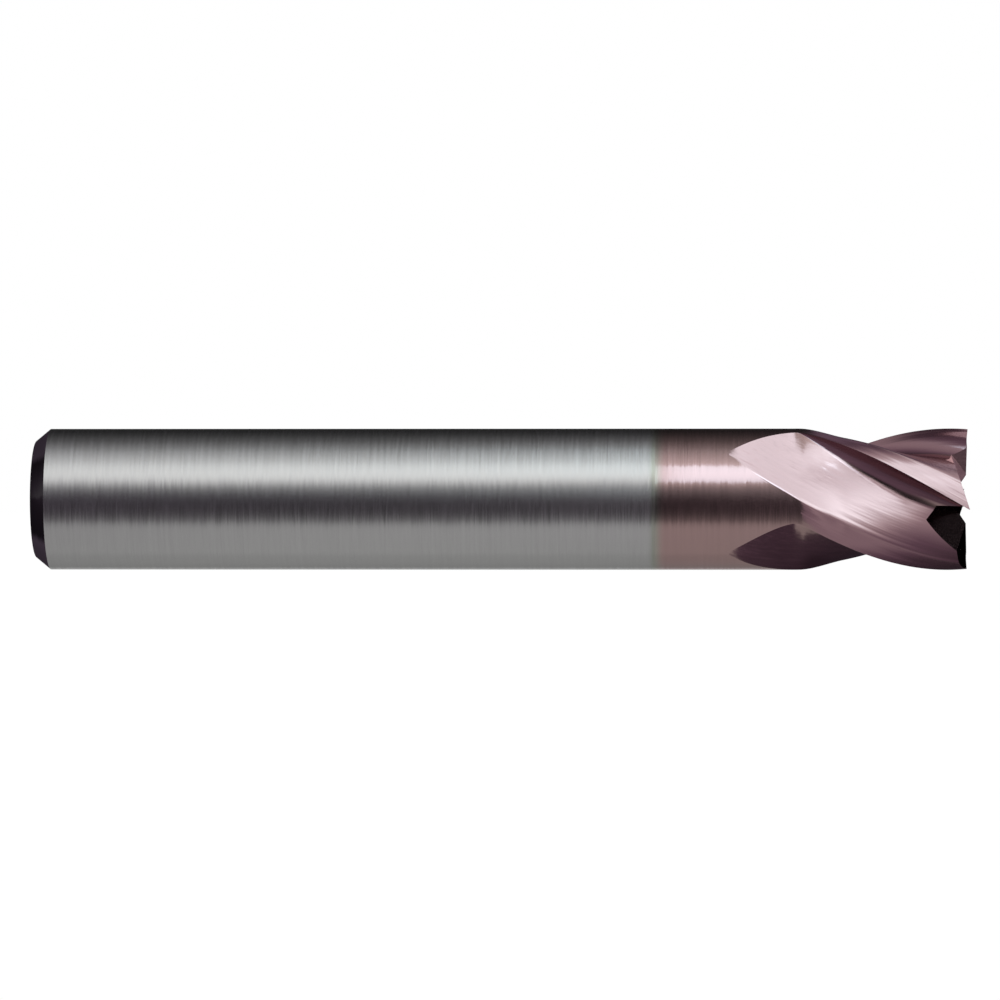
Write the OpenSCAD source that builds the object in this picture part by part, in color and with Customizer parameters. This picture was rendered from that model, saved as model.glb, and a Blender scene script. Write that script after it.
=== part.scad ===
// Four-flute square end mill in solid carbide, with a plain cylindrical shank and a coated cutting end.
// The tool lies along +X with its cutting end at +X, and the origin is the centre of its rear face.
// A positive turn about +X is the cutting direction. All lengths are in millimetres.

/* [Tool] */
// Shank and cutting diameter
tool_d = 10; // [9:0.5:11]
// Length over all
tool_len = 66; // [64:1:80]
// Length of the chamfer on the rear end, along the axis
chamfer_len = 1.05; // [0.5:0.05:1.5]
// Radius that the rear chamfer takes off
chamfer_drop = 0.87; // [0.4:0.01:1.2]
// Length that the coating covers, from the cutting end
coated_len = 22; // [18:0.5:30]

/* [Flutes] */
// Length from the tip of a flute's run-out to the cutting end
fluted_len = 16.8; // [15:0.1:17]
// Length from where the cutting edges begin to the cutting end
edge_len = 11.85; // [11:0.05:12.5]
// Length over which a flute grows from the wall of the shank to its full depth
deepening_len = 7.5; // [5:0.5:9]
// Helix angle of the cutting edges
helix_deg = 30; // [25:1:38]
// Radius of the web that the flutes leave
web_r = 3; // [2.9:0.05:3.2]
// Radial rake of the tooth face
rake_deg = 8; // [2:1:12]
// Radius at the bottom of the gullet
gullet_r = 1.5; // [0.8:0.1:1.6]
// Radius of the crowned back of the flute
back_r = 10; // [8:1:30]
// Angle that the relieved land takes up behind the cutting edge
land_deg = 17.8; // [14:0.2:20]
// Radius that the land loses by its heel
heel_drop = 0.33; // [0.2:0.01:0.4]
// Width of the narrow bevel along the heel
bevel_w = 0.35; // [0.1:0.05:0.4]

/* [Cutting end] */
// Angle of the first tooth's corner at the cutting end, from +Y towards +Z
first_corner_deg = 278.6; // [270:0.1:285]
// Fall of the end edges towards the centre
dish_deg = 1.5; // [1:0.5:3]
// Relief behind the end edges
end_relief_deg = 18; // [12:1:20]
// Fall of the gash bottom towards the wall
gash_deg = 37.6; // [34:0.2:39]
// Radius at which the gash of a long end tooth starts
long_start_r = 0.05; // [0.05:0.05:0.3]
// Radius at which the gash of a short end tooth starts
short_start_r = 1.7; // [1.6:0.05:1.9]

/* [Mesh] */
// Distance between the rings of a tooth
ring_step = 0.42; // [0.4:0.02:0.8]

/* [Hidden] */

$fn = 96;
teeth = 4;
pitch_deg = 360 / teeth;
tool_r = tool_d / 2;
coating_x = tool_len - coated_len;
runout_x = tool_len - fluted_len;
edge_x = tool_len - edge_len;
// Twist of the helix for each millimetre along the axis
twist_deg = 360 * tan(helix_deg) / (PI * tool_d);
flute_deg = pitch_deg - land_deg;

// The core cylinder fills the web, with a hair of clearance so that its wall and the teeth don't cross
core_r = 2.6;
core_gap = 0.01;

// A run-out starts as a nick this many degrees ahead of the cutting edge's line, and widens both ways
nick_deg = 62.5;
nick_half_deg = 2;
// Power and length that shape the two sides of the run-out
upper_power = 1.25;
lower_len = 1.2;
// Angle of cylinder wall kept beside each edge, so that no two points of a ring fall together
margin_deg = 0.15;
// Share of the full depth at which a flute breaks through the wall
first_depth = 0.01;
// Share of the run-out's length, and length, over which the run-out passes softly into the flute
end_soft = 0.03;
start_soft = 0.15;
// Length over which the relief of the land grows
relief_len = 3.2;

// Numbers of steps round a tooth's section
back_steps = 7;
gullet_steps = 6;
wall_steps = 2;
land_steps = 3;
core_steps = 6;

// The gash profile, across its length: a bevelled bottom and a floor that rises ahead of the tooth
gash_bevel_w = 0.98;
gash_bevel_drop = 0.5;
gash_floor_deg = 28.5;
// Reach of the cutters past the wall and past the end of the tool
reach = 8;
// Distance by which the relief cutter passes ahead of the end edge
edge_overlap = 1;

bare_colour = "Silver";
coated_colour = "RosyBrown";

function polar(r, deg) = [r * cos(deg), r * sin(deg)];
function turned(p, deg) = [p.x * cos(deg) - p.y * sin(deg), p.x * sin(deg) + p.y * cos(deg)];
function unit(v) = v / norm(v);
function clamped(t) = min(1, max(0, t));
function smooth(t) = let(c = clamped(t)) c * c * (3 - 2 * c);
// The positive part of v, rounded over a width w
function rounded(v, w) = w * ln(1 + exp(v / w));

// Sections are drawn with the cutting edge at 0 degrees and the cutting direction positive.
// Angle of the upper side of a flute, which runs up to the cutting edge
function edge_deg(x) =
    let(left = rounded(1 - max(0, (x - runout_x) / (edge_x - runout_x)), end_soft))
    max(margin_deg, nick_deg * pow(left, upper_power) - nick_half_deg * left);
// Angle of the lower side of a flute, which becomes the heel of the tooth ahead
function heel_deg(x) =
    nick_deg + nick_half_deg
    + (flute_deg - margin_deg - nick_deg - nick_half_deg) * (1 - exp((runout_x - x) / lower_len));
// Share of the full depth that a flute has reached
function depth_share(x) =
    max(first_depth, 1 - pow(1 - clamped(rounded(x - edge_x, start_soft) / deepening_len), 2));
// Radius of the back's arc, which starts out almost straight
function back_radius(x) = back_r / pow(depth_share(x), 2);
// Radius of the heel
function heel_r(x) = tool_r - heel_drop * smooth((x - edge_x) / relief_len);

// Centre of the gullet's arc: it touches the tooth's face and the circle of the gullet's bottom
function gullet_centre(x) =
    let(
        bottom_r = tool_r - (tool_r - web_r) * depth_share(x),
        arc_r = gullet_r * depth_share(x),
        face_normal = polar(1, 90 + rake_deg),
        start = [tool_r, 0] + arc_r * face_normal,
        inward = polar(1, 180 + rake_deg),
        b = start * inward,
        c = start * start - pow(bottom_r + arc_r, 2)
    )
    turned(start + (-b - sqrt(b * b - c)) * inward, edge_deg(x));

// Inner end of the bevel along the heel
function bevel_end(x) =
    let(
        heel = polar(heel_r(x), heel_deg(x)),
        centre = gullet_centre(x),
        bottom = centre - gullet_r * depth_share(x) * unit(centre),
        wall_way = polar(1, heel_deg(x) - 90),
        width = min(bevel_w, norm(bottom - heel) / 4)
    )
    heel + width * unit(wall_way + unit(bottom - heel));

// Centre of the back's arc: it passes through the bevel's end and touches the gullet's arc
function back_centre(x) =
    let(
        arc_r = gullet_r * depth_share(x),
        radius = back_radius(x),
        from = bevel_end(x),
        span = gullet_centre(x) - from,
        along = (radius * radius - pow(radius + arc_r, 2) + span * span) / (2 * norm(span)),
        across = sqrt(radius * radius - along * along)
    )
    from + along * unit(span) + across * turned(unit(span), -90);

function deg_of(v) = atan2(v.y, v.x);

// The flute's wall from the bevel's end, over the back and round the gullet to the tooth's face
function flute_wall(x) =
    let(
        arc_r = gullet_r * depth_share(x),
        centre = gullet_centre(x),
        hub = back_centre(x),
        radius = back_radius(x),
        back_from = deg_of(bevel_end(x) - hub),
        back_to = deg_of(centre - hub),
        face_deg = edge_deg(x) + 90 + rake_deg
    )
    concat(
        [for (i = [0:back_steps]) hub + polar(radius, back_from + (back_to - back_from) * i / back_steps)],
        [for (i = [1:gullet_steps]) centre - polar(arc_r, back_to + (face_deg - back_to) * i / gullet_steps)]
    );

// Points of an arc about the axis whose radius and angle change evenly, without its last point
function fan(r1, r2, deg1, deg2, steps) =
    [for (i = [0:steps - 1]) polar(r1 + (r2 - r1) * i / steps, deg1 + (deg2 - deg1) * i / steps)];

// One tooth's section, from the heel of the tooth ahead round to its own heel and back along the core
function section(x) =
    concat(
        fan(heel_r(x), heel_r(x), flute_deg, heel_deg(x), wall_steps),
        [polar(heel_r(x), heel_deg(x))],
        flute_wall(x),
        fan(tool_r, tool_r, edge_deg(x), 0, wall_steps),
        fan(tool_r, heel_r(x), 0, -land_deg, land_steps),
        [polar(heel_r(x), -land_deg)],
        fan(core_r + core_gap, core_r + core_gap, -land_deg, flute_deg, core_steps),
        [polar(core_r + core_gap, flute_deg)]
    );

rings = ceil((tool_len - runout_x) / ring_step);
function ring_x(i) = runout_x + (tool_len - runout_x) * i / rings;

// A sweep of the section along the helix, with its cutting edge at 0 degrees on the cutting end
module swept_tooth() {
    count = len(section(runout_x));
    points = [
        for (i = [0:rings])
            for (p = section(ring_x(i)))
                let(q = turned(p, (ring_x(i) - tool_len) * twist_deg)) [ring_x(i), q.x, q.y]
    ];
    sides = [
        for (i = [0:rings - 1])
            for (j = [0:count - 1])
                let(a = i * count + j, b = i * count + (j + 1) % count)
                    each [[a, b, b + count], [a, b + count, a + count]]
    ];
    rear = [[for (j = [count - 1:-1:0]) j]];
    front = [[for (j = [0:count - 1]) rings * count + j]];
    polyhedron(points = points, faces = concat(sides, rear, front), convexity = 6);
}

// Moves its children to tooth n's end edge: X along the tool, Y out along the edge, Z ahead of it
module at_corner(n) {
    translate([tool_len, 0, 0]) rotate([first_corner_deg - pitch_deg * (n - 1), 0, 0]) children();
}

function start_r(n) = n % 2 == 0 ? long_start_r : short_start_r;

// The slot ground in front of tooth n's end edge, with its side along the tool's axis
module gash(n) {
    floor_len = reach - gash_bevel_w;
    at_corner(n)
        translate([0, start_r(n), 0])
            rotate([0, 0, gash_deg])
                translate([0, -reach / 2, 0])
                    rotate([-90, -90, 0])
                        linear_extrude(2 * reach)
                            polygon([
                                [0, 0],
                                [-gash_bevel_drop, gash_bevel_w],
                                [-gash_bevel_drop + floor_len * tan(gash_floor_deg), reach],
                                [reach, reach],
                                [reach, 0]
                            ]);
}

// The relief ground behind tooth n's end edge, which falls to the dished centre
module end_relief(n) {
    at_corner(n)
        translate([0, tool_r, 0])
            rotate([0, 0, -dish_deg])
                rotate([0, end_relief_deg, 0])
                    translate([0, -tool_r, -reach])
                        cube([reach, reach + tool_r, reach + edge_overlap]);
}

module end_grinding() {
    for (n = [1:teeth]) {
        gash(n);
        end_relief(n);
    }
}

module rear_chamfer() {
    color(bare_colour)
        rotate([0, 90, 0]) cylinder(h = chamfer_len, r1 = tool_r - chamfer_drop, r2 = tool_r);
}

module shank() {
    color(bare_colour)
        translate([chamfer_len, 0, 0]) rotate([0, 90, 0]) cylinder(h = coating_x - chamfer_len, r = tool_r);
}

module neck() {
    color(coated_colour)
        translate([coating_x, 0, 0]) rotate([0, 90, 0]) cylinder(h = runout_x - coating_x, r = tool_r);
}

module core() {
    color(coated_colour)
        difference() {
            translate([runout_x, 0, 0]) rotate([0, 90, 0]) cylinder(h = tool_len - runout_x, r = core_r);
            end_grinding();
        }
}

module tooth(n) {
    color(coated_colour)
        difference() {
            rotate([first_corner_deg - pitch_deg * (n - 1), 0, 0]) swept_tooth();
            end_grinding();
        }
}

module tooth_1() { tooth(1); }
module tooth_2() { tooth(2); }
module tooth_3() { tooth(3); }
module tooth_4() { tooth(4); }

rear_chamfer();
shank();
neck();
core();
tooth_1();
tooth_2();
tooth_3();
tooth_4();
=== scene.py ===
"""Four-flute square end mill in coated carbide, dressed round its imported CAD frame.

The tool lies along +X with its cutting end at +X and the centre of its rear face at the origin.
A positive turn about +X is the cutting direction. Meshes are worked out in millimetres and scaled
to metres once, so every size in this file can be read against a drawing.
"""

import logging
import math
from dataclasses import dataclass, field
from enum import Enum
from typing import Sequence

import bmesh
import bpy
import numpy as np
from mathutils import Matrix, Vector


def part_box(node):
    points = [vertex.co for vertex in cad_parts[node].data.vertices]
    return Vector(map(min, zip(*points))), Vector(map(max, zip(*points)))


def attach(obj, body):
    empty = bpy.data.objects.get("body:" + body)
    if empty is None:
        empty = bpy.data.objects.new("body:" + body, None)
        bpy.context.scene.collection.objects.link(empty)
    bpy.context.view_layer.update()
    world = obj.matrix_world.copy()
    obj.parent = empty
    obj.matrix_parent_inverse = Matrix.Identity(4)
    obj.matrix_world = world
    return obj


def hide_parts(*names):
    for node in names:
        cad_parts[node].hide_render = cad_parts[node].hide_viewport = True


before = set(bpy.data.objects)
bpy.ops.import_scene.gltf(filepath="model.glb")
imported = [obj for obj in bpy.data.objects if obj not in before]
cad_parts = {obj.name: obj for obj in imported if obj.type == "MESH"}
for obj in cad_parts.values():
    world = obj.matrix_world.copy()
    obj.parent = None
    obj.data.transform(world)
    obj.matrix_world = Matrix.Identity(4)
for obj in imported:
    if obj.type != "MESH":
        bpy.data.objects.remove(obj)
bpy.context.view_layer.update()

MM = 0.001
BODY = "root"
TEETH = 4
PITCH_DEG = 360 / TEETH
HELIX_DEG = 30.0
# The rod's radius is read from the box of the CAD shank. The flats of that mesh leave its top at
# 4.995 mm, so the rod drawn here is 0.01 mm narrower than this
NOMINAL_D_MM = 10.0
log = logging.getLogger("end_mill")

Point2 = tuple[float, float]


def linear(hex_colour: str) -> tuple[float, float, float, float]:
    """Turns an sRGB hex colour into linear light.

    Args:
        hex_colour: Six hex digits, such as "C0C0C0".

    Returns:
        Linear red, green and blue, with an alpha of 1.
    """
    parts = [int(hex_colour[i:i + 2], 16) / 255 for i in (0, 2, 4)]
    lin = [c / 12.92 if c <= 0.04045 else ((c + 0.055) / 1.055) ** 2.4 for c in parts]
    return (lin[0], lin[1], lin[2], 1.0)


def smooth(t: float) -> float:
    """Eases t from 0 to 1, and holds it there."""
    c = min(1.0, max(0.0, t))
    return c * c * (3 - 2 * c)


def positive_part(v: float, width: float) -> float:
    """The positive part of v, rounded over a width."""
    return width * math.log(1 + math.exp(v / width))


def polar(radius: float, deg: float) -> np.ndarray:
    """A point at that radius and angle."""
    return radius * np.array([math.cos(math.radians(deg)), math.sin(math.radians(deg))])


def turned(p: np.ndarray, deg: float) -> np.ndarray:
    """The point turned about the origin."""
    c, s = math.cos(math.radians(deg)), math.sin(math.radians(deg))
    return np.array([p[0] * c - p[1] * s, p[0] * s + p[1] * c])


def unit(v: np.ndarray) -> np.ndarray:
    """The vector at length 1."""
    return v / np.linalg.norm(v)


def deg_of(v: np.ndarray) -> float:
    """The vector's angle in degrees."""
    return math.degrees(math.atan2(v[1], v[0]))


# ---------------------------------------------------------------------------------------------
# Shapes
# ---------------------------------------------------------------------------------------------


@dataclass(frozen=True)
class Rod:
    """The ground rod that everything is cut from, in millimetres, read from the frame."""

    radius: float
    length: float
    chamfer_len: float
    coating_x: float
    runout_x: float
    chamfer_drop: float = 0.87

    @classmethod
    def from_frame(cls) -> "Rod":
        """Reads the rod's stations from the CAD nodes.

        Returns:
            The rod with its sizes in millimetres.
        """
        shank_low, shank_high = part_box("shank")
        neck_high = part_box("neck")[1]
        tip = max(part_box(f"tooth_{n}")[1].x for n in range(1, TEETH + 1))
        return cls(
            radius=round(shank_high.z / MM, 3),
            length=round(tip / MM, 1),
            chamfer_len=round(shank_low.x / MM, 3),
            coating_x=round(shank_high.x / MM, 3),
            runout_x=round(neck_high.x / MM, 3),
        )

    @property
    def twist_deg(self) -> float:
        """Angle that the helix turns through in each millimetre along the tool."""
        return 360 * math.tan(math.radians(HELIX_DEG)) / (math.pi * 2 * self.radius)


@dataclass(frozen=True)
class FluteSection:
    """The section across one flute and its tooth, at any station along the tool.

    Lengths are in millimetres. Angles are in degrees from the tooth's cutting edge, positive in the
    cutting direction. The flute starts as a nick at the rod's run-out station, reaches the cutting
    edge's line at edge_x and its full depth at deepening_len past that.
    """

    rod: Rod
    edge_x: float = 54.15
    deepening_len: float = 7.5
    end_soft: float = 0.03
    start_soft: float = 0.15
    web_r: float = 3.0
    rake_deg: float = 8.0
    gullet_r: float = 1.5
    back_r: float = 10.0
    land_deg: float = 17.8
    heel_drop: float = 0.33
    relief_len: float = 3.2
    bevel_w: float = 0.35
    nick_deg: float = 62.5
    nick_half_deg: float = 2.0
    upper_power: float = 1.25
    lower_len: float = 1.2
    margin_deg: float = 0.15
    first_depth: float = 0.01
    core_r: float = 2.6
    seam_share: float = 0.01
    back_steps: int = 24
    gullet_steps: int = 26
    bevel_steps: int = 6
    land_steps: int = 8
    wall_steps: int = 6
    upper_steps: int = 40
    core_steps: int = 12

    @property
    def flute_deg(self) -> float:
        """Angle that a flute takes up at full depth."""
        return PITCH_DEG - self.land_deg

    def edge_deg(self, x: float) -> float:
        """Angle of the upper side of the flute, which runs up to the cutting edge."""
        gone = max(0.0, (x - self.rod.runout_x) / (self.edge_x - self.rod.runout_x))
        left = positive_part(1 - gone, self.end_soft)
        deg = self.nick_deg * left ** self.upper_power - self.nick_half_deg * left
        return max(self.margin_deg, deg)

    def heel_deg(self, x: float) -> float:
        """Angle of the lower side of the flute, which becomes the heel of the tooth ahead."""
        start = self.nick_deg + self.nick_half_deg
        grown = 1 - math.exp((self.rod.runout_x - x) / self.lower_len)
        return start + (self.flute_deg - self.margin_deg - start) * grown

    def depth_share(self, x: float) -> float:
        """Share of the full depth that the flute has reached."""
        t = min(1.0, positive_part(x - self.edge_x, self.start_soft) / self.deepening_len)
        return max(self.first_depth, 1 - (1 - t) ** 2)

    def heel_r(self, x: float) -> float:
        """Radius of the heel."""
        return self.rod.radius - self.heel_drop * smooth((x - self.edge_x) / self.relief_len)

    def gullet_centre(self, x: float) -> np.ndarray:
        """Centre of the gullet's arc, which touches the tooth's face and the web.

        Args:
            x: Station along the tool.

        Returns:
            The centre in the section's plane.
        """
        share = self.depth_share(x)
        bottom_r = self.rod.radius - (self.rod.radius - self.web_r) * share
        arc_r = self.gullet_r * share
        start = np.array([self.rod.radius, 0.0]) + arc_r * polar(1, 90 + self.rake_deg)
        inward = polar(1, 180 + self.rake_deg)
        b = float(start @ inward)
        c = float(start @ start) - (bottom_r + arc_r) ** 2
        return turned(start + (-b - math.sqrt(b * b - c)) * inward, self.edge_deg(x))

    def bevel_end(self, x: float) -> np.ndarray:
        """Inner end of the narrow bevel along the heel.

        Args:
            x: Station along the tool.

        Returns:
            The point in the section's plane.
        """
        heel = polar(self.heel_r(x), self.heel_deg(x))
        centre = self.gullet_centre(x)
        bottom = centre - self.gullet_r * self.depth_share(x) * unit(centre)
        width = min(self.bevel_w, float(np.linalg.norm(bottom - heel)) / 4)
        return heel + width * unit(polar(1, self.heel_deg(x) - 90) + unit(bottom - heel))

    def back_centre(self, x: float) -> np.ndarray:
        """Centre of the back's arc, through the bevel's end and touching the gullet's arc.

        Args:
            x: Station along the tool.

        Returns:
            The centre in the section's plane.
        """
        share = self.depth_share(x)
        radius = self.back_r / share ** 2
        start = self.bevel_end(x)
        span = self.gullet_centre(x) - start
        length = float(np.linalg.norm(span))
        along = (radius ** 2 - (radius + self.gullet_r * share) ** 2 + length ** 2) / (2 * length)
        across = math.sqrt(radius ** 2 - along ** 2)
        return start + along * span / length + across * turned(span / length, -90)

    def flute_wall(self, x: float) -> list[np.ndarray]:
        """The flute's wall from the bevel's end, over the back and round the gullet.

        Args:
            x: Station along the tool.

        Returns:
            Points in the section's plane.
        """
        share = self.depth_share(x)
        arc_r = self.gullet_r * share
        radius = self.back_r / share ** 2
        centre, hub, start = self.gullet_centre(x), self.back_centre(x), self.bevel_end(x)
        back_from, back_to = deg_of(start - hub), deg_of(centre - hub)
        face = self.edge_deg(x) + 90 + self.rake_deg
        back = [
            hub + polar(radius, back_from + (back_to - back_from) * i / self.back_steps)
            for i in range(self.back_steps + 1)
        ]
        gullet = [
            centre - polar(arc_r, back_to + (face - back_to) * i / self.gullet_steps)
            for i in range(1, self.gullet_steps + 1)
        ]
        return back + gullet

    def bevel(self, x: float, wall: Sequence[np.ndarray]) -> list[np.ndarray]:
        """The narrow rounding from the heel into the flute's back, with one control point.

        Args:
            x: Station along the tool.
            wall: The flute's wall, which the rounding runs into.

        Returns:
            Points between the heel and the wall, without the ends.
        """
        heel = polar(self.heel_r(x), self.heel_deg(x))
        end = wall[0]
        back_way = unit(wall[0] - wall[1])
        control = end + back_way * float((heel - end) @ back_way) * 0.5 + (heel - end) * 0.25
        points = []
        for i in range(1, self.bevel_steps):
            t = i / self.bevel_steps
            points.append((1 - t) ** 2 * heel + 2 * t * (1 - t) * control + t * t * end)
        return points

    def guarded(self, steps: int) -> list[float]:
        """Shares from 0 to 1, with narrow first and last steps that keep normals true at a seam."""
        inner = [i / steps for i in range(1, steps)]
        return [0.0, self.seam_share, *inner, 1 - self.seam_share, 1.0]

    def ring(self, x: float) -> list[np.ndarray]:
        """One tooth's whole section, from the heel of the tooth ahead to its own heel and core.

        Args:
            x: Station along the tool.

        Returns:
            Points of a closed outline, each ring with the same number of them.
        """
        r, heel_r, heel, edge = self.rod.radius, self.heel_r(x), self.heel_deg(x), self.edge_deg(x)
        wall = self.flute_wall(x)
        lower = [
            polar(heel_r, self.flute_deg + (heel - self.flute_deg) * t)
            for t in self.guarded(self.wall_steps)
        ]
        upper = [polar(r, edge * (1 - t)) for t in self.guarded(self.upper_steps)[:-1]]
        land = [
            polar(r + (heel_r - r) * t, -self.land_deg * t)
            for t in self.guarded(self.land_steps)
        ]
        core = [
            polar(self.core_r, -self.land_deg + PITCH_DEG * i / self.core_steps)
            for i in range(self.core_steps + 1)
        ]
        return lower + self.bevel(x, wall) + wall + upper + land + core


@dataclass(frozen=True)
class CutterSet:
    """The grinding of the cutting end: one gash and one relief for each tooth, in millimetres.

    Gashes that start near the axis leave end edges that reach the centre, on every second tooth.
    """

    rod: Rod
    first_corner_deg: float = 278.6
    dish_deg: float = 1.5
    relief_deg: float = 18.0
    gash_deg: float = 37.6
    long_start_r: float = 0.05
    short_start_r: float = 1.7
    bevel_w: float = 0.98
    bevel_drop: float = 0.5
    floor_deg: float = 28.5
    reach: float = 8.0
    overlap: float = 1.0

    def corner_deg(self, n: int) -> float:
        """Angle of tooth n's corner, from +Y towards +Z."""
        return self.first_corner_deg - PITCH_DEG * (n - 1)

    def at_corner(self, n: int) -> Matrix:
        """Placement at tooth n's end edge: X along the tool, Y out along the edge, Z ahead."""
        turn = Matrix.Rotation(math.radians(self.corner_deg(n)), 4, "X")
        return Matrix.Translation((self.rod.length, 0, 0)) @ turn

    def gash(self, n: int) -> bpy.types.Mesh:
        """The slot ground in front of tooth n's end edge.

        Args:
            n: The tooth's number.

        Returns:
            A closed prism.
        """
        floor_rise = (self.reach - self.bevel_w) * math.tan(math.radians(self.floor_deg))
        profile = [
            (0.0, 0.0),
            (-self.bevel_drop, self.bevel_w),
            (floor_rise - self.bevel_drop, self.reach),
            (self.reach, self.reach),
            (self.reach, 0.0),
        ]
        start_r = self.long_start_r if n % 2 == 0 else self.short_start_r
        place = (
            self.at_corner(n)
            @ Matrix.Translation((0, start_r, 0))
            @ Matrix.Rotation(math.radians(self.gash_deg), 4, "Z")
        )
        ends = (-self.reach / 2, 1.5 * self.reach)
        rows = [[Vector((a, y, t)) for a, t in profile] for y in ends]
        return prism(f"gash_cutter_{n}", rows, place)

    def relief(self, n: int) -> bpy.types.Mesh:
        """The relief ground behind tooth n's end edge.

        Args:
            n: The tooth's number.

        Returns:
            A closed block.
        """
        r, reach = self.rod.radius, self.reach
        place = (
            self.at_corner(n)
            @ Matrix.Translation((0, r, 0))
            @ Matrix.Rotation(math.radians(-self.dish_deg), 4, "Z")
            @ Matrix.Rotation(math.radians(self.relief_deg), 4, "Y")
        )
        corners = [(0.0, -reach), (reach, -reach), (reach, self.overlap), (0.0, self.overlap)]
        rows = [[Vector((a, y, t)) for a, t in corners] for y in (-r, reach)]
        return prism(f"relief_cutter_{n}", rows, place)

    def union(self) -> bpy.types.Object:
        """All the cutters joined into one solid, as an object that isn't part of the tool.

        Returns:
            The joined cutter.
        """
        meshes = [make(n) for n in range(1, TEETH + 1) for make in (self.gash, self.relief)]
        whole = temporary(meshes[0])
        for mesh in meshes[1:]:
            other = temporary(mesh)
            change(whole, other, Change.JOIN)
            bpy.data.objects.remove(other)
        return whole


def prism(name: str, rows: Sequence[Sequence[Vector]], place: Matrix) -> bpy.types.Mesh:
    """A closed prism between two matching outlines.

    Args:
        name: Name of the mesh.
        rows: Two outlines with the same number of points.
        place: Where it goes.

    Returns:
        The mesh, with its faces outwards.
    """
    bm = bmesh.new()
    ends = [[bm.verts.new(place @ p) for p in row] for row in rows]
    count = len(ends[0])
    for i in range(count):
        j = (i + 1) % count
        bm.faces.new((ends[0][i], ends[0][j], ends[1][j], ends[1][i]))
    bm.faces.new(ends[0][::-1])
    bm.faces.new(ends[1])
    bmesh.ops.recalc_face_normals(bm, faces=bm.faces)
    mesh = bpy.data.meshes.new(name)
    bm.to_mesh(mesh)
    bm.free()
    return mesh


def temporary(mesh: bpy.types.Mesh) -> bpy.types.Object:
    """An object that holds a mesh while it is worked on."""
    obj = bpy.data.objects.new(mesh.name, mesh)
    bpy.context.scene.collection.objects.link(obj)
    return obj


class Change(Enum):
    """How one solid changes another."""

    JOIN = "UNION"
    CUT = "DIFFERENCE"


def change(target: bpy.types.Object, other: bpy.types.Object, kind: Change) -> None:
    """Applies one boolean to a working object and keeps the other object.

    Args:
        target: The object to change.
        other: The object to join to it or cut from it.
        kind: Whether to join or to cut.
    """
    modifier = target.modifiers.new("grind", "BOOLEAN")
    modifier.operation = kind.value
    modifier.solver = "EXACT"
    modifier.object = other
    bpy.context.view_layer.update()
    whole = target.evaluated_get(bpy.context.evaluated_depsgraph_get())
    result = bpy.data.meshes.new_from_object(whole)
    target.modifiers.clear()
    target.data = result


def swept(name: str, rings: Sequence[Sequence[Sequence[float]]]) -> bpy.types.Mesh:
    """A closed solid through matching rings of points, with its two ends capped.

    Args:
        name: Name of the mesh.
        rings: Rings of points, all with the same count.

    Returns:
        The mesh, with its faces outwards.
    """
    count = len(rings[0])
    verts = [p for ring in rings for p in ring]
    faces: list[tuple[int, ...]] = []
    for i in range(len(rings) - 1):
        for j in range(count):
            a, b = i * count + j, i * count + (j + 1) % count
            faces.append((a, b, b + count, a + count))
    faces.append(tuple(range(count - 1, -1, -1)))
    last = (len(rings) - 1) * count
    faces.append(tuple(range(last, last + count)))
    mesh = bpy.data.meshes.new(name)
    mesh.from_pydata(verts, [], faces)
    bm = bmesh.new()
    bm.from_mesh(mesh)
    caps = [f for f in bm.faces if len(f.verts) > 4]
    bmesh.ops.triangulate(bm, faces=caps)
    bmesh.ops.recalc_face_normals(bm, faces=bm.faces)
    bm.to_mesh(mesh)
    bm.free()
    return mesh


def lathed(name: str, profile: Sequence[Point2], steps: int = 256) -> bpy.types.Mesh:
    """Turns a profile about the tool's axis into a closed solid.

    Args:
        name: Name of the mesh.
        profile: Points as (x, radius) from the rear to the front, none on the axis.
        steps: Steps round the axis.

    Returns:
        The mesh.
    """
    turns = [math.tau * j / steps for j in range(steps)]
    rings = [[(x, r * math.cos(a), r * math.sin(a)) for a in turns] for x, r in profile]
    return swept(name, rings)


def rounded(
    corner: Point2, before: Point2, after: Point2, size: float, steps: int = 5
) -> list[Point2]:
    """Breaks a corner of a profile with a small curve.

    Args:
        corner: The corner.
        before: A point on the side that comes before it.
        after: A point on the side that follows it.
        size: Distance from the corner at which the curve starts and ends.
        steps: Steps along the curve.

    Returns:
        The curve's points.
    """
    c = np.array(corner)
    a = c + unit(np.array(before) - c) * size
    b = c + unit(np.array(after) - c) * size
    points = []
    for i in range(steps + 1):
        t = i / steps
        p = (1 - t) ** 2 * a + 2 * t * (1 - t) * c + t * t * b
        points.append((float(p[0]), float(p[1])))
    return points


# ---------------------------------------------------------------------------------------------
# Finishes
# ---------------------------------------------------------------------------------------------


def add(
    tree: bpy.types.NodeTree, kind: str, settings: dict | None = None, **links: object
) -> bpy.types.Node:
    """Adds a shader node, with its settings and its inputs.

    Args:
        tree: The node tree.
        kind: The node's type.
        settings: Properties of the node, by name.
        **links: Inputs by name or as in0, in1...: an output socket to link, or a value.

    Returns:
        The node.
    """
    node = tree.nodes.new(kind)
    for key, value in (settings or {}).items():
        setattr(node, key, value)
    for key, value in links.items():
        name = key.replace("_", " ").title()
        socket = node.inputs[int(key[2:])] if key[2:].isdigit() else node.inputs[name]
        if isinstance(value, bpy.types.NodeSocket):
            tree.links.new(value, socket)
        else:
            socket.default_value = value
    return node


class GrindPath(Enum):
    """Which way a wheel moved over a surface, and so which way its fine lines run."""

    ROUND = "round the tool"
    HELIX = "along the flutes"


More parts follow.
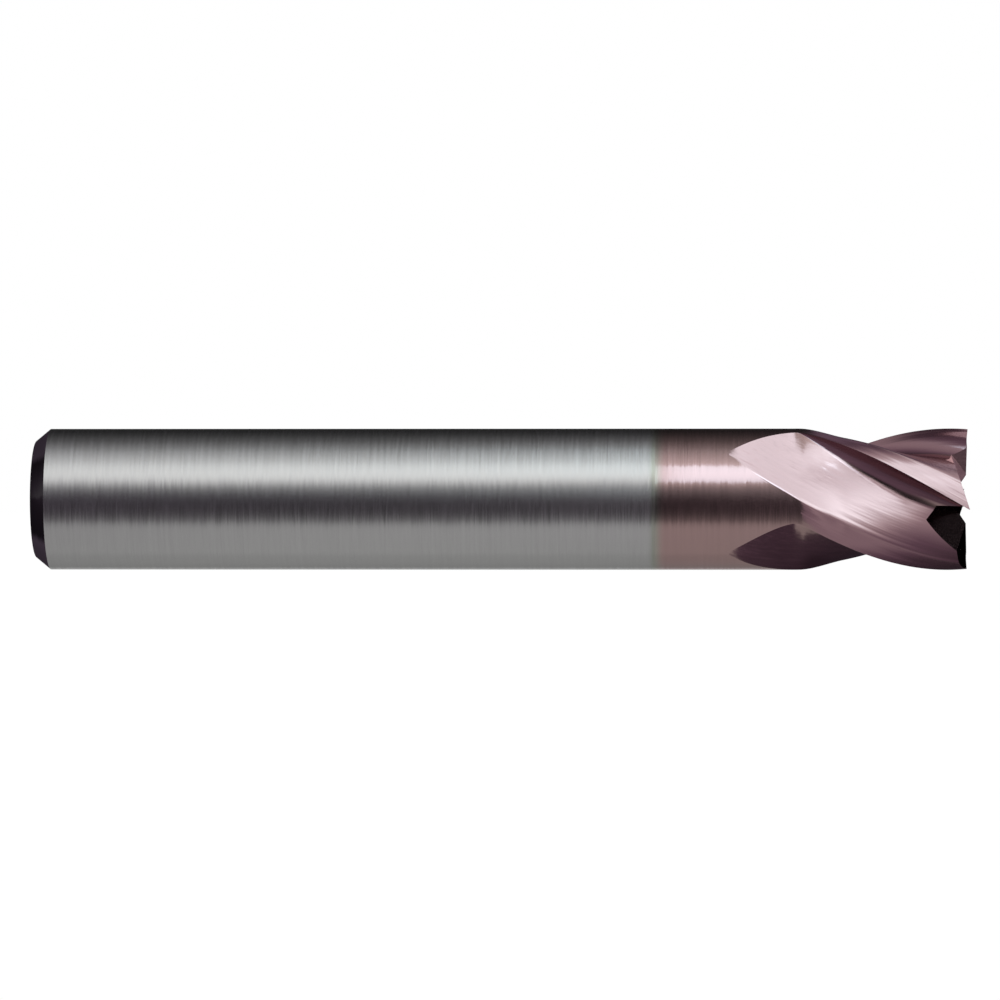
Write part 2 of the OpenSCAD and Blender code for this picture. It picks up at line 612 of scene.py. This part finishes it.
@dataclass(frozen=True)
class GroundCarbide:
    """Cemented carbide with a ground surface, bare or under its hard coating.

    Cemented carbide is a hard grey metal. Grinding leaves fine parallel lines, which spread a
    reflection across them and fray the edges of the bands of light. The lines are line_mm apart and
    run_mm long, lean the surface by up to sway and change its shade by up to streak.
    """

    name: str
    path: GrindPath
    bare_hex: str = "D9D9D7"
    coated_hex: str = "CBAAA7"
    tint_hex: str = "C3C6BA"
    roughness: float = 0.2
    line_mm: float = 0.05
    run_mm: float = 2.4
    sway: float = 0.04
    streak: float = 0.04
    coating_from_mm: float = 44.2
    coating_fade_mm: float = 0.7
    helix_rad_per_mm: float = (
        math.tau * math.tan(math.radians(HELIX_DEG)) / (math.pi * NOMINAL_D_MM)
    )

    def material(self) -> bpy.types.Material:
        """Builds the material.

        Returns:
            The material, with its pattern in the tool's own coordinates.
        """
        made = bpy.data.materials.new(self.name)
        made.use_nodes = True
        tree = made.node_tree
        tree.nodes.clear()
        place = add(tree, "ShaderNodeTexCoord").outputs["Object"]
        scaled = add(
            tree, "ShaderNodeVectorMath", {"operation": "SCALE"}, in0=place, Scale=1 / MM
        ).outputs["Vector"]
        lines, broad = self._lines(tree, scaled)
        coat = self._coat(tree, scaled, broad)
        shader = add(
            tree,
            "ShaderNodeBsdfPrincipled",
            base_color=self._colour(tree, coat, lines, broad),
            metallic=1.0,
            roughness=self._roughness(tree, lines),
            normal=self._normal(tree, scaled, lines, broad),
        )
        add(tree, "ShaderNodeOutputMaterial", surface=shader.outputs["BSDF"])
        return made

    def _stretched(
        self, tree: bpy.types.NodeTree, scaled: bpy.types.NodeSocket
    ) -> bpy.types.NodeSocket:
        """Coordinates in millimetres in which the grinding lines run along one axis.

        Args:
            tree: The node tree.
            scaled: The place on the tool, in millimetres.

        Returns:
            The coordinates, in line widths across the lines and in run lengths along them.
        """
        across, along = 1 / self.line_mm, 1 / self.run_mm
        if self.path is GrindPath.HELIX:
            split = add(tree, "ShaderNodeSeparateXYZ", in0=scaled)
            angle = add(
                tree, "ShaderNodeMath", {"operation": "MULTIPLY"},
                in0=split.outputs["X"], in1=-self.helix_rad_per_mm,
            )
            straight = add(
                tree, "ShaderNodeVectorRotate", {"rotation_type": "X_AXIS"},
                vector=scaled, angle=angle.outputs["Value"],
            )
            return add(
                tree, "ShaderNodeVectorMath", {"operation": "MULTIPLY"},
                in0=straight.outputs["Vector"], in1=(along, across, across),
            ).outputs["Vector"]
        return add(
            tree, "ShaderNodeVectorMath", {"operation": "MULTIPLY"},
            in0=scaled, in1=(across, along, along),
        ).outputs["Vector"]

    def _lines(
        self, tree: bpy.types.NodeTree, scaled: bpy.types.NodeSocket
    ) -> tuple[bpy.types.NodeSocket, bpy.types.NodeSocket]:
        """The fine grinding lines and the broader streaks among them.

        Args:
            tree: The node tree.
            scaled: The place on the tool, in millimetres.

        Returns:
            Fine lines and broad streaks, each about 0.5 on average.
        """
        where = self._stretched(tree, scaled)
        fine = add(
            tree, "ShaderNodeTexNoise", {"noise_dimensions": "3D"},
            vector=where, scale=1.0, detail=3.0, roughness=0.6,
        )
        wide = add(
            tree, "ShaderNodeTexNoise", {"noise_dimensions": "3D"},
            vector=where, scale=0.31, detail=2.0, roughness=0.5,
        )
        return fine.outputs["Fac"], wide.outputs["Fac"]

    def _coat(
        self, tree: bpy.types.NodeTree, scaled: bpy.types.NodeSocket, broad: bpy.types.NodeSocket
    ) -> bpy.types.NodeSocket:
        """How much coating there is: none on the shank, fading in over about a millimetre.

        Args:
            tree: The node tree.
            scaled: The place on the tool, in millimetres.
            broad: Broad streaks, which fray the edge of the coating.

        Returns:
            0 on bare carbide, 1 where the coating is whole.
        """
        split = add(tree, "ShaderNodeSeparateXYZ", in0=scaled)
        frayed = add(
            tree, "ShaderNodeMath", {"operation": "MULTIPLY_ADD"},
            in0=broad, in1=0.25, in2=split.outputs["X"],
        )
        return add(
            tree, "ShaderNodeMapRange", {"interpolation_type": "SMOOTHSTEP"},
            value=frayed.outputs["Value"],
            from_min=self.coating_from_mm - self.coating_fade_mm,
            from_max=self.coating_from_mm + self.coating_fade_mm,
        ).outputs["Result"]

    def _colour(
        self,
        tree: bpy.types.NodeTree,
        coat: bpy.types.NodeSocket,
        lines: bpy.types.NodeSocket,
        broad: bpy.types.NodeSocket,
    ) -> bpy.types.NodeSocket:
        """The metal's colour, with a faint green where the coating is thinnest.

        Args:
            tree: The node tree.
            coat: How much coating there is.
            lines: Fine lines.
            broad: Broad streaks.

        Returns:
            The colour.
        """
        ramp = add(tree, "ShaderNodeValToRGB", fac=coat)
        ramp.color_ramp.elements[0].color = linear(self.bare_hex)
        ramp.color_ramp.elements[1].color = linear(self.coated_hex)
        ramp.color_ramp.elements.new(0.3).color = linear(self.tint_hex)
        mixed = add(
            tree, "ShaderNodeMath", {"operation": "ADD"}, in0=lines, in1=broad
        ).outputs["Value"]
        shade = add(
            tree, "ShaderNodeMapRange", value=mixed, from_min=0.6, from_max=1.4,
            to_min=1 - self.streak, to_max=1 + self.streak,
        )
        return add(
            tree, "ShaderNodeVectorMath", {"operation": "SCALE"},
            in0=ramp.outputs["Color"], Scale=shade.outputs["Result"],
        ).outputs["Vector"]

    def _roughness(
        self, tree: bpy.types.NodeTree, lines: bpy.types.NodeSocket
    ) -> bpy.types.NodeSocket:
        """Roughness that is a little higher in the deeper lines."""
        return add(
            tree, "ShaderNodeMapRange", value=lines, from_min=0.3, from_max=0.7,
            to_min=self.roughness * 0.8, to_max=self.roughness * 1.25,
        ).outputs["Result"]

    def _normal(
        self,
        tree: bpy.types.NodeTree,
        scaled: bpy.types.NodeSocket,
        lines: bpy.types.NodeSocket,
        broad: bpy.types.NodeSocket,
    ) -> bpy.types.NodeSocket:
        """Leans the surface a little to either side along the run of the lines and across them.

        Args:
            tree: The node tree.
            scaled: The place on the tool, in millimetres.
            lines: Fine lines.
            broad: Broad streaks.

        Returns:
            The leaned normal.
        """
        normal = add(tree, "ShaderNodeNewGeometry").outputs["Normal"]
        split = add(tree, "ShaderNodeSeparateXYZ", in0=scaled)
        if self.path is GrindPath.HELIX:
            twist = self.helix_rad_per_mm
            back = add(
                tree, "ShaderNodeMath", {"operation": "MULTIPLY"},
                in0=split.outputs["Z"], in1=-twist,
            )
            up = add(
                tree, "ShaderNodeMath", {"operation": "MULTIPLY"}, in0=split.outputs["Y"], in1=twist
            )
            run = add(
                tree, "ShaderNodeCombineXYZ", x=1.0, y=back.outputs["Value"], z=up.outputs["Value"]
            ).outputs["Vector"]
            lean = add(
                tree, "ShaderNodeVectorMath", {"operation": "CROSS_PRODUCT"}, in0=normal, in1=run
            ).outputs["Vector"]
        else:
            lean = add(
                tree, "ShaderNodeVectorMath", {"operation": "CROSS_PRODUCT"},
                in0=(1.0, 0.0, 0.0), in1=normal,
            ).outputs["Vector"]
        mixed = add(
            tree, "ShaderNodeMath", {"operation": "ADD"}, in0=lines, in1=broad
        ).outputs["Value"]
        amount = add(
            tree, "ShaderNodeMapRange", value=mixed, from_min=0.5, from_max=1.5,
            to_min=-self.sway, to_max=self.sway,
        )
        shift = add(
            tree, "ShaderNodeVectorMath", {"operation": "SCALE"},
            in0=lean, Scale=amount.outputs["Result"],
        )
        total = add(
            tree, "ShaderNodeVectorMath", {"operation": "ADD"},
            in0=normal, in1=shift.outputs["Vector"],
        )
        return add(
            tree, "ShaderNodeVectorMath", {"operation": "NORMALIZE"}, in0=total.outputs["Vector"]
        ).outputs["Vector"]


# ---------------------------------------------------------------------------------------------
# The tool
# ---------------------------------------------------------------------------------------------


@dataclass
class EndMill:
    """The whole tool: its turned stretches, its core and its four teeth, in millimetres.

    The rims of faces on the axis have the small radius axis_r, so that no ring falls into a point.
    """

    rod: Rod
    section: FluteSection
    cutters: CutterSet
    edge_break: float = 0.06
    axis_r: float = 0.02
    ring_step: float = 0.1
    shank_stations: int = 30
    neck_stations: int = 6
    core_end_len: float = 5.0
    core_round_steps: int = 192
    shade_deg: float = 8.0
    wall_tolerance: float = 0.0012
    coated: bpy.types.Collection = field(
        default_factory=lambda: bpy.data.collections.new("coated_pieces")
    )

    def build(self) -> None:
        """Builds and dresses every piece, from the rear end to the cutting end."""
        # Centreless grinding leaves fine rings, which blur the room into soft bands along the rod
        shank_finish = GroundCarbide("centreless_ground_carbide", GrindPath.ROUND).material()
        # The chamfer is ground by itself, smoother, so it mirrors the dark end of the room
        chamfer_finish = GroundCarbide(
            "ground_carbide_chamfer", GrindPath.ROUND, roughness=0.1, line_mm=0.1
        ).material()
        # The hard coating fills the finest rings, so its bands have harder edges and a rose tone
        neck_finish = GroundCarbide(
            "coated_ground_carbide_neck", GrindPath.ROUND, roughness=0.15
        ).material()
        # The flute wheel leaves long, coarser lines along the helix, which draw highlights out
        flute_finish = GroundCarbide(
            "coated_ground_carbide_flutes", GrindPath.HELIX,
            roughness=0.16, line_mm=0.13, run_mm=6.0, sway=0.09, streak=0.08,
        ).material()
        self._add(self.rear_chamfer(), "rear_chamfer", "chamfered_carbide", chamfer_finish)
        self._add(self.shank(), "shank", "ground_carbide", shank_finish)
        self._add(self.neck(), "neck", "coated_carbide", neck_finish)
        cutter = self.cutters.union()
        self._add(self.core(cutter), "core", "coated_carbide", flute_finish)
        for n in range(1, TEETH + 1):
            tooth = self.tooth(n, cutter)
            self._add(tooth, f"tooth_{n}", "coated_carbide", flute_finish, neck_finish)
        bpy.data.objects.remove(cutter)

    def rear_chamfer(self) -> bpy.types.Mesh:
        """The chamfered rear end with its flat face.

        Returns:
            The mesh, in millimetres.
        """
        rod = self.rod
        face_r = rod.radius - rod.chamfer_drop
        wall = (rod.chamfer_len, rod.radius)
        rim = rounded((0.0, face_r), (0.0, 0.0), wall, self.edge_break)
        return lathed("rear_chamfer", [(0.0, self.axis_r), (0.0, face_r / 2), *rim, wall])

    def shank(self) -> bpy.types.Mesh:
        """The bare shank, from the chamfer to the coating.

        Returns:
            The mesh, in millimetres.
        """
        rod = self.rod
        stations = np.linspace(rod.chamfer_len, rod.coating_x, self.shank_stations)
        return lathed("shank", [(float(x), rod.radius) for x in stations])

    def neck(self) -> bpy.types.Mesh:
        """The coated stretch of plain cylinder.

        Returns:
            The mesh, in millimetres.
        """
        rod = self.rod
        stations = np.linspace(rod.coating_x, rod.runout_x, self.neck_stations)
        return lathed("neck", [(float(x), rod.radius) for x in stations])

    def core(self, cutter: bpy.types.Object) -> bpy.types.Mesh:
        """The rod inside the web, with the centre of the ground cutting end.

        Args:
            cutter: The joined cutters of the end.

        Returns:
            The mesh, in millimetres.
        """
        rod, r = self.rod, self.section.core_r
        profile = [(rod.runout_x, r), (rod.length - self.core_end_len, r), (rod.length, r)]
        work = temporary(lathed("core", profile, self.core_round_steps))
        change(work, cutter, Change.CUT)
        return self._taken(work)

    def tooth(self, n: int, cutter: bpy.types.Object) -> bpy.types.Mesh:
        """One tooth with its flute, ground at the cutting end.

        Args:
            n: The tooth's number.
            cutter: The joined cutters of the end.

        Returns:
            The mesh, in millimetres.
        """
        rod = self.rod
        count = math.ceil((rod.length - rod.runout_x) / self.ring_step)
        rings = []
        for x in np.linspace(rod.runout_x, rod.length, count + 1):
            angle = self.cutters.corner_deg(n) + (float(x) - rod.length) * rod.twist_deg
            turned_ring = [turned(p, angle) for p in self.section.ring(float(x))]
            rings.append([(float(x), float(p[0]), float(p[1])) for p in turned_ring])
        work = temporary(swept(f"tooth_{n}", rings))
        change(work, cutter, Change.CUT)
        return self._taken(work)

    def _dress_wall(self, mesh: bpy.types.Mesh) -> None:
        """Gives the second material to the faces that still lie on the rod's round wall."""
        radii = [math.hypot(v.co.y, v.co.z) for v in mesh.vertices]
        for face in mesh.polygons:
            on_wall = all(radii[i] > self.rod.radius - self.wall_tolerance for i in face.vertices)
            face.material_index = 1 if on_wall else 0

    def _taken(self, work: bpy.types.Object) -> bpy.types.Mesh:
        """Takes the mesh from a working object and removes the object."""
        mesh = work.data
        bpy.data.objects.remove(work)
        return mesh

    def _add(
        self,
        mesh: bpy.types.Mesh,
        node: str,
        slot: str,
        finish: bpy.types.Material,
        wall_finish: bpy.types.Material | None = None,
    ) -> None:
        """Makes a finished piece of a mesh and puts it in its CAD node's place.

        Args:
            mesh: The mesh, in millimetres.
            node: The CAD node that it stands for.
            slot: Its finish group; pieces in coated_carbide join the collection that the cool soft
                box lights.
            finish: The material.
            wall_finish: The material of what is left of the rod's round wall, if it has its own.
        """
        mesh.materials.clear()
        mesh.materials.append(finish)
        if wall_finish:
            mesh.materials.append(wall_finish)
            self._dress_wall(mesh)
        mesh.transform(Matrix.Scale(MM, 4))
        mesh.shade_smooth()
        mesh.set_sharp_from_angle(angle=math.radians(self.shade_deg))
        piece = bpy.data.objects.new(f"ground_{node}", mesh)
        bpy.context.scene.collection.objects.link(piece)
        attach(piece, BODY)
        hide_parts(node)
        if slot == "coated_carbide":
            self.coated.objects.link(piece)
        log.info("piece %s: %d faces", piece.name, len(mesh.polygons))


# ---------------------------------------------------------------------------------------------
# Studio
# ---------------------------------------------------------------------------------------------


@dataclass(frozen=True)
class LightStop:
    """How bright the studio is at one angle round the tool's axis: 0 in front, 90 overhead.

    Walls off to the tool's ends have a colour. There, what a stop has above bright_from leans by
    bright_lean to blue, and what it has up to dark_to leans by dark_lean to violet.
    """

    deg: float
    level: float
    bright_from: float = 0.5
    bright_lean: tuple[float, float, float] = (-0.29, 0.0, 0.1)
    dark_to: float = 0.12
    dark_lean: tuple[float, float, float] = (0.38, 0.0, 0.45)

    def colour(self, cool: float) -> tuple[float, float, float]:
        """The stop's red, green and blue.

        Args:
            cool: How far a bright stop leans to blue and a dark one to violet, from 0 to 1.

        Returns:
            Linear light.
        """
        over = max(0.0, self.level - self.bright_from) * cool
        under = min(self.level, self.dark_to) * cool
        red, green, blue = (
            self.level + bright * over + dark * under
            for bright, dark in zip(self.bright_lean, self.dark_lean)
        )
        return (red, green, blue)


def band(*pairs: tuple[float, float]) -> tuple[LightStop, ...]:
    """Stops from pairs of an angle and a level, from below, round the front, to above."""
    return tuple(LightStop(deg, level) for deg, level in pairs)


@dataclass
class Studio:
    """Soft light, a plain pale floor and the camera."""

    rod: Rod
    # Square to the tool: what the round shank and neck show. A soft box above the front gives the
    # bright band, a dark gap at eye level the dark one, and the table's glow the even grey below.
    stops: tuple[LightStop, ...] = band(
        (-180, 0.2), (-166, 0.5), (-150, 0.24), (-128, 0.3), (-106, 0.33), (-98, 0.375),
        (-50, 0.38), (-42, 0.32), (-34, 0.13), (-24, 0.05), (-14, 0.022), (-4, 0.013),
        (5, 0.038), (13, 0.12), (20, 0.28), (28, 0.7), (35, 0.97), (43, 1.0), (55, 0.86),
        (66, 0.6), (78, 0.42), (92, 0.22), (110, 0.09), (130, 0.035), (148, 0.015), (162, 0.02),
        (174, 0.04), (180, 0.2),
    )
    # A little towards the cutting end: what the flutes' run-outs and the teeth's lands show.
    near_end_stops: tuple[LightStop, ...] = band(
        (-180, 0.02), (-145, 0.02), (-105, 0.05), (-85, 0.1), (-60, 0.28), (-35, 0.26),
        (-20, 0.18), (-5, 0.28), (5, 0.62), (14, 0.85), (22, 0.5), (33, 0.5), (46, 1.8),
        (58, 1.9), (68, 1.5), (86, 1.55), (95, 0.64), (105, 0.4), (115, 0.19), (128, 0.08),
        (145, 0.12), (180, 0.02),
    )
    # Further that way: what the upper flute shows, brightest above the front.
    front_end_stops: tuple[LightStop, ...] = band(
        (-180, 0.02), (-125, 0.02), (-105, 0.045), (-85, 0.1), (-65, 0.19), (-45, 0.29),
        (-30, 0.33), (-5, 0.38), (5, 0.6), (15, 1.1), (25, 1.55), (35, 1.7), (43, 1.25),
        (55, 1.0), (65, 1.25), (80, 1.5), (88, 1.4), (96, 0.74), (115, 0.57), (135, 0.37),
        (150, 0.25), (165, 0.05), (180, 0.02),
    )
    # Towards the rear end: a dim wall, which leaves the chamfer dark.
    rear_end_stops: tuple[LightStop, ...] = band(
        (-180, 0.02), (-145, 0.03), (-110, 0.05), (-70, 0.075), (-30, 0.1), (0, 0.11),
        (15, 0.13), (30, 0.2), (45, 0.3), (65, 0.3), (80, 0.24), (95, 0.14), (110, 0.07),
        (130, 0.03), (180, 0.02),
    )
    # Furthest towards the cutting end: the bright streaks low in the upper flute.
    far_end_stops: tuple[LightStop, ...] = band(
        (-180, 0.01), (-120, 0.02), (-90, 0.03), (-65, 0.05), (-45, 0.08), (-25, 0.11),
        (-5, 0.21), (5, 0.32), (15, 0.6), (25, 1.2), (35, 1.85), (46, 1.95), (58, 1.6),
        (70, 1.5), (86, 1.3), (96, 0.6), (115, 0.3), (150, 0.05), (180, 0.01),
    )
    # Each of those walls fades in between two values of the direction's part along the tool
    near_from: float = 0.035
    near_to: float = 0.08
    side_from: float = 0.22
    side_to: float = 0.29
    rear_from: float = -0.12
    rear_to: float = -0.25
    far_from: float = 0.33
    far_to: float = 0.52
    # The colour ramps hold shares of this level, as they can't hold more than 1
    peak: float = 2.0
    # The soft box over the cutting end, up from eye level
    key_deg: float = 42.0
    key_level: float = 1.15
    key_distance_mm: float = 30.0
    key_shift_mm: float = 1.9
    key_width_mm: float = 14.0
    key_length_mm: float = 19.0
    key_x_mm: float = 53.9
    key_colour: tuple[float, float, float] = (0.52, 0.82, 1.0)
    floor_half_m: float = 1.5
    # The camera, level with the tool's axis and turned a little towards the cutting end
    lens_mm: float = 206.7
    distance_mm: float = 407.0
    azimuth_deg: float = 2.2
    target_x_mm: float = 32.97
    target_z_mm: float = -0.057

    def build(self, coated: bpy.types.Collection) -> None:
        """Builds the light, the floor and the camera.

        Args:
            coated: The coated pieces, which have a light of their own.
        """
        self._world()
        self._key(coated)
        self._floor()
        self._camera()
        bpy.context.scene.view_settings.view_transform = "Standard"
        log.info("studio ready")

    def _world(self) -> None:
        """Lights the tool from a soft studio whose brightness changes round the tool's axis."""
        world = bpy.data.worlds.new("soft_studio")
        bpy.context.scene.world = world
        world.use_nodes = True
        tree = world.node_tree
        tree.nodes.clear()
        way = add(tree, "ShaderNodeTexCoord").outputs["Generated"]
        split = add(tree, "ShaderNodeSeparateXYZ", in0=way)
        front = add(
            tree, "ShaderNodeMath", {"operation": "MULTIPLY"}, in0=split.outputs["Y"], in1=-1.0
        )
        angle = add(
            tree, "ShaderNodeMath", {"operation": "ARCTAN2"},
            in0=split.outputs["Z"], in1=front.outputs["Value"],
        )
        share = add(
            tree, "ShaderNodeMapRange", value=angle.outputs["Value"],
            from_min=-math.pi, from_max=math.pi,
        )
        light = self._band(tree, share.outputs["Result"], self.stops, 0.0)
        for stops, start, end in (
            (self.near_end_stops, self.near_from, self.near_to),
            (self.front_end_stops, self.side_from, self.side_to),
            (self.far_end_stops, self.far_from, self.far_to),
            (self.rear_end_stops, self.rear_from, self.rear_to),
        ):
            toward = add(
                tree, "ShaderNodeMapRange", {"interpolation_type": "SMOOTHSTEP"},
                value=split.outputs["X"], from_min=start, from_max=end,
            )
            light = add(
                tree, "ShaderNodeMix", {"data_type": "RGBA"}, in0=toward.outputs["Result"],
                in6=light, in7=self._band(tree, share.outputs["Result"], stops, 1.0),
            ).outputs[2]
        lit = add(
            tree, "ShaderNodeBackground", color=light,
            strength=self._ends(tree, split.outputs["X"], split.outputs["Y"]),
        )
        plain = add(tree, "ShaderNodeBackground", color=(1, 1, 1, 1), strength=1.0)
        seen = add(tree, "ShaderNodeLightPath").outputs["Is Camera Ray"]
        mixed = add(tree, "ShaderNodeMixShader", in0=seen, in1=lit.outputs[0], in2=plain.outputs[0])
        add(tree, "ShaderNodeOutputWorld", surface=mixed.outputs[0])

    def _band(
        self,
        tree: bpy.types.NodeTree,
        share: bpy.types.NodeSocket,
        stops: Sequence[LightStop],
        cool: float,
    ) -> bpy.types.NodeSocket:
        """Light that changes round the tool's axis.

        Args:
            tree: The node tree.
            share: The angle round the axis, from 0 to 1.
            stops: The stops, from below and behind, round the front, to above and behind.
            cool: How far bright stops lean to blue and dark ones to violet, from 0 to 1.

        Returns:
            The light, as a share of the studio's peak.
        """
        node = add(tree, "ShaderNodeValToRGB", fac=share)
        elements = node.color_ramp.elements
        for stop in stops[1:-1]:
            elements.new((stop.deg + 180) / 360)
        for element, stop in zip(elements, stops):
            element.color = tuple(c / self.peak for c in stop.colour(cool)) + (1,)
        return node.outputs["Color"]

    def _ends(
        self, tree: bpy.types.NodeTree, along: bpy.types.NodeSocket, away: bpy.types.NodeSocket
    ) -> bpy.types.NodeSocket:
        """Strength of the light, which dies out past both ends and behind the cutting end.

        Args:
            tree: The node tree.
            along: The direction's part along the tool.
            away: The direction's part away from the camera's side.

        Returns:
            The strength.
        """
        behind = add(
            tree, "ShaderNodeMath", {"operation": "MULTIPLY_ADD"}, in0=away, in1=0.6, in2=along
        ).outputs["Value"]
        # What fades the light, where that starts and ends, and the share of the light that is left
        fades = (
            (along, -0.74, -0.84, 0.13),
            (along, 0.88, 0.95, 0.02),
            (behind, 0.82, 0.95, 0.02),
        )
        strength: bpy.types.NodeSocket | float = self.peak
        for value, start, end, rest in fades:
            left = add(
                tree, "ShaderNodeMapRange", {"interpolation_type": "SMOOTHSTEP"},
                value=value, from_min=start, from_max=end, to_min=1.0, to_max=rest,
            )
            strength = add(
                tree, "ShaderNodeMath", {"operation": "MULTIPLY"},
                in0=strength, in1=left.outputs["Result"],
            ).outputs["Value"]
        return strength

    def _key(self, coated: bpy.types.Collection) -> None:
        """A cool soft box over the cutting end, which lights the coated pieces only.

        Args:
            coated: The pieces that it lights.
        """
        lamp = bpy.data.lights.new("cool_soft_box", "AREA")
        lamp.shape = "RECTANGLE"
        lamp.size = self.key_length_mm * MM
        lamp.size_y = self.key_width_mm * MM
        lamp.color = self.key_colour
        lamp.energy = self.key_level * math.pi * lamp.size * lamp.size_y
        box = bpy.data.objects.new("cool_soft_box", lamp)
        bpy.context.scene.collection.objects.link(box)
        up = math.radians(self.key_deg)
        out = Vector((0, -math.cos(up), math.sin(up))) * self.key_distance_mm
        down = Vector((0, math.sin(up), math.cos(up))) * self.key_shift_mm
        box.location = (Vector((self.key_x_mm, 0, 0)) + out - down) * MM
        box.rotation_euler = (math.pi / 2 - up, 0, 0)
        box.visible_camera = False
        box.light_linking.receiver_collection = coated

    def _floor(self) -> None:
        """A plain pale floor just under the tool, lit from within like a light table."""
        half, z = self.floor_half_m, -self.rod.radius * MM
        corners = [(-half, -half, z), (half, -half, z), (half, half, z), (-half, half, z)]
        mesh = bpy.data.meshes.new("pale_floor")
        mesh.from_pydata(corners, [], [(0, 1, 2, 3)])
        floor = bpy.data.objects.new("pale_floor", mesh)
        bpy.context.scene.collection.objects.link(floor)
        made = bpy.data.materials.new("opal_light_table")
        made.use_nodes = True
        tree = made.node_tree
        tree.nodes.clear()
        grain = add(tree, "ShaderNodeTexNoise", scale=400.0)
        tone = add(tree, "ShaderNodeMapRange", value=grain.outputs["Fac"], to_min=1.0, to_max=1.02)
        glow = add(tree, "ShaderNodeEmission", color=(1, 1, 1, 1), strength=tone.outputs["Result"])
        add(tree, "ShaderNodeOutputMaterial", surface=glow.outputs[0])
        mesh.materials.append(made)
        floor.visible_glossy = False
        floor.visible_diffuse = False

    def _camera(self) -> None:
        """A long lens almost square to the tool, a little towards its cutting end."""
        camera = bpy.data.cameras.new("long_lens")
        camera.lens = self.lens_mm
        camera.sensor_width = 36.0
        camera.clip_start = 0.01
        camera.clip_end = 20.0
        obj = bpy.data.objects.new("long_lens", camera)
        bpy.context.scene.collection.objects.link(obj)
        turn = math.radians(self.azimuth_deg)
        target = Vector((self.target_x_mm, 0, self.target_z_mm)) * MM
        way = Vector((math.sin(turn), -math.cos(turn), 0))
        obj.location = target + way * self.distance_mm * MM
        obj.rotation_euler = (target - obj.location).to_track_quat("-Z", "Y").to_euler()
        bpy.context.scene.camera = obj


def main() -> None:
    """Builds the tool and its studio, and reports each piece."""
    logging.basicConfig(level=logging.INFO, format="%(name)s: %(message)s")
    rod = Rod.from_frame()
    log.info("rod %.2f mm across, %.2f mm long", 2 * rod.radius, rod.length)
    tool = EndMill(rod, FluteSection(rod), CutterSet(rod))
    tool.build()
    Studio(rod).build(tool.coated)


if __name__ == "__main__":
    main()
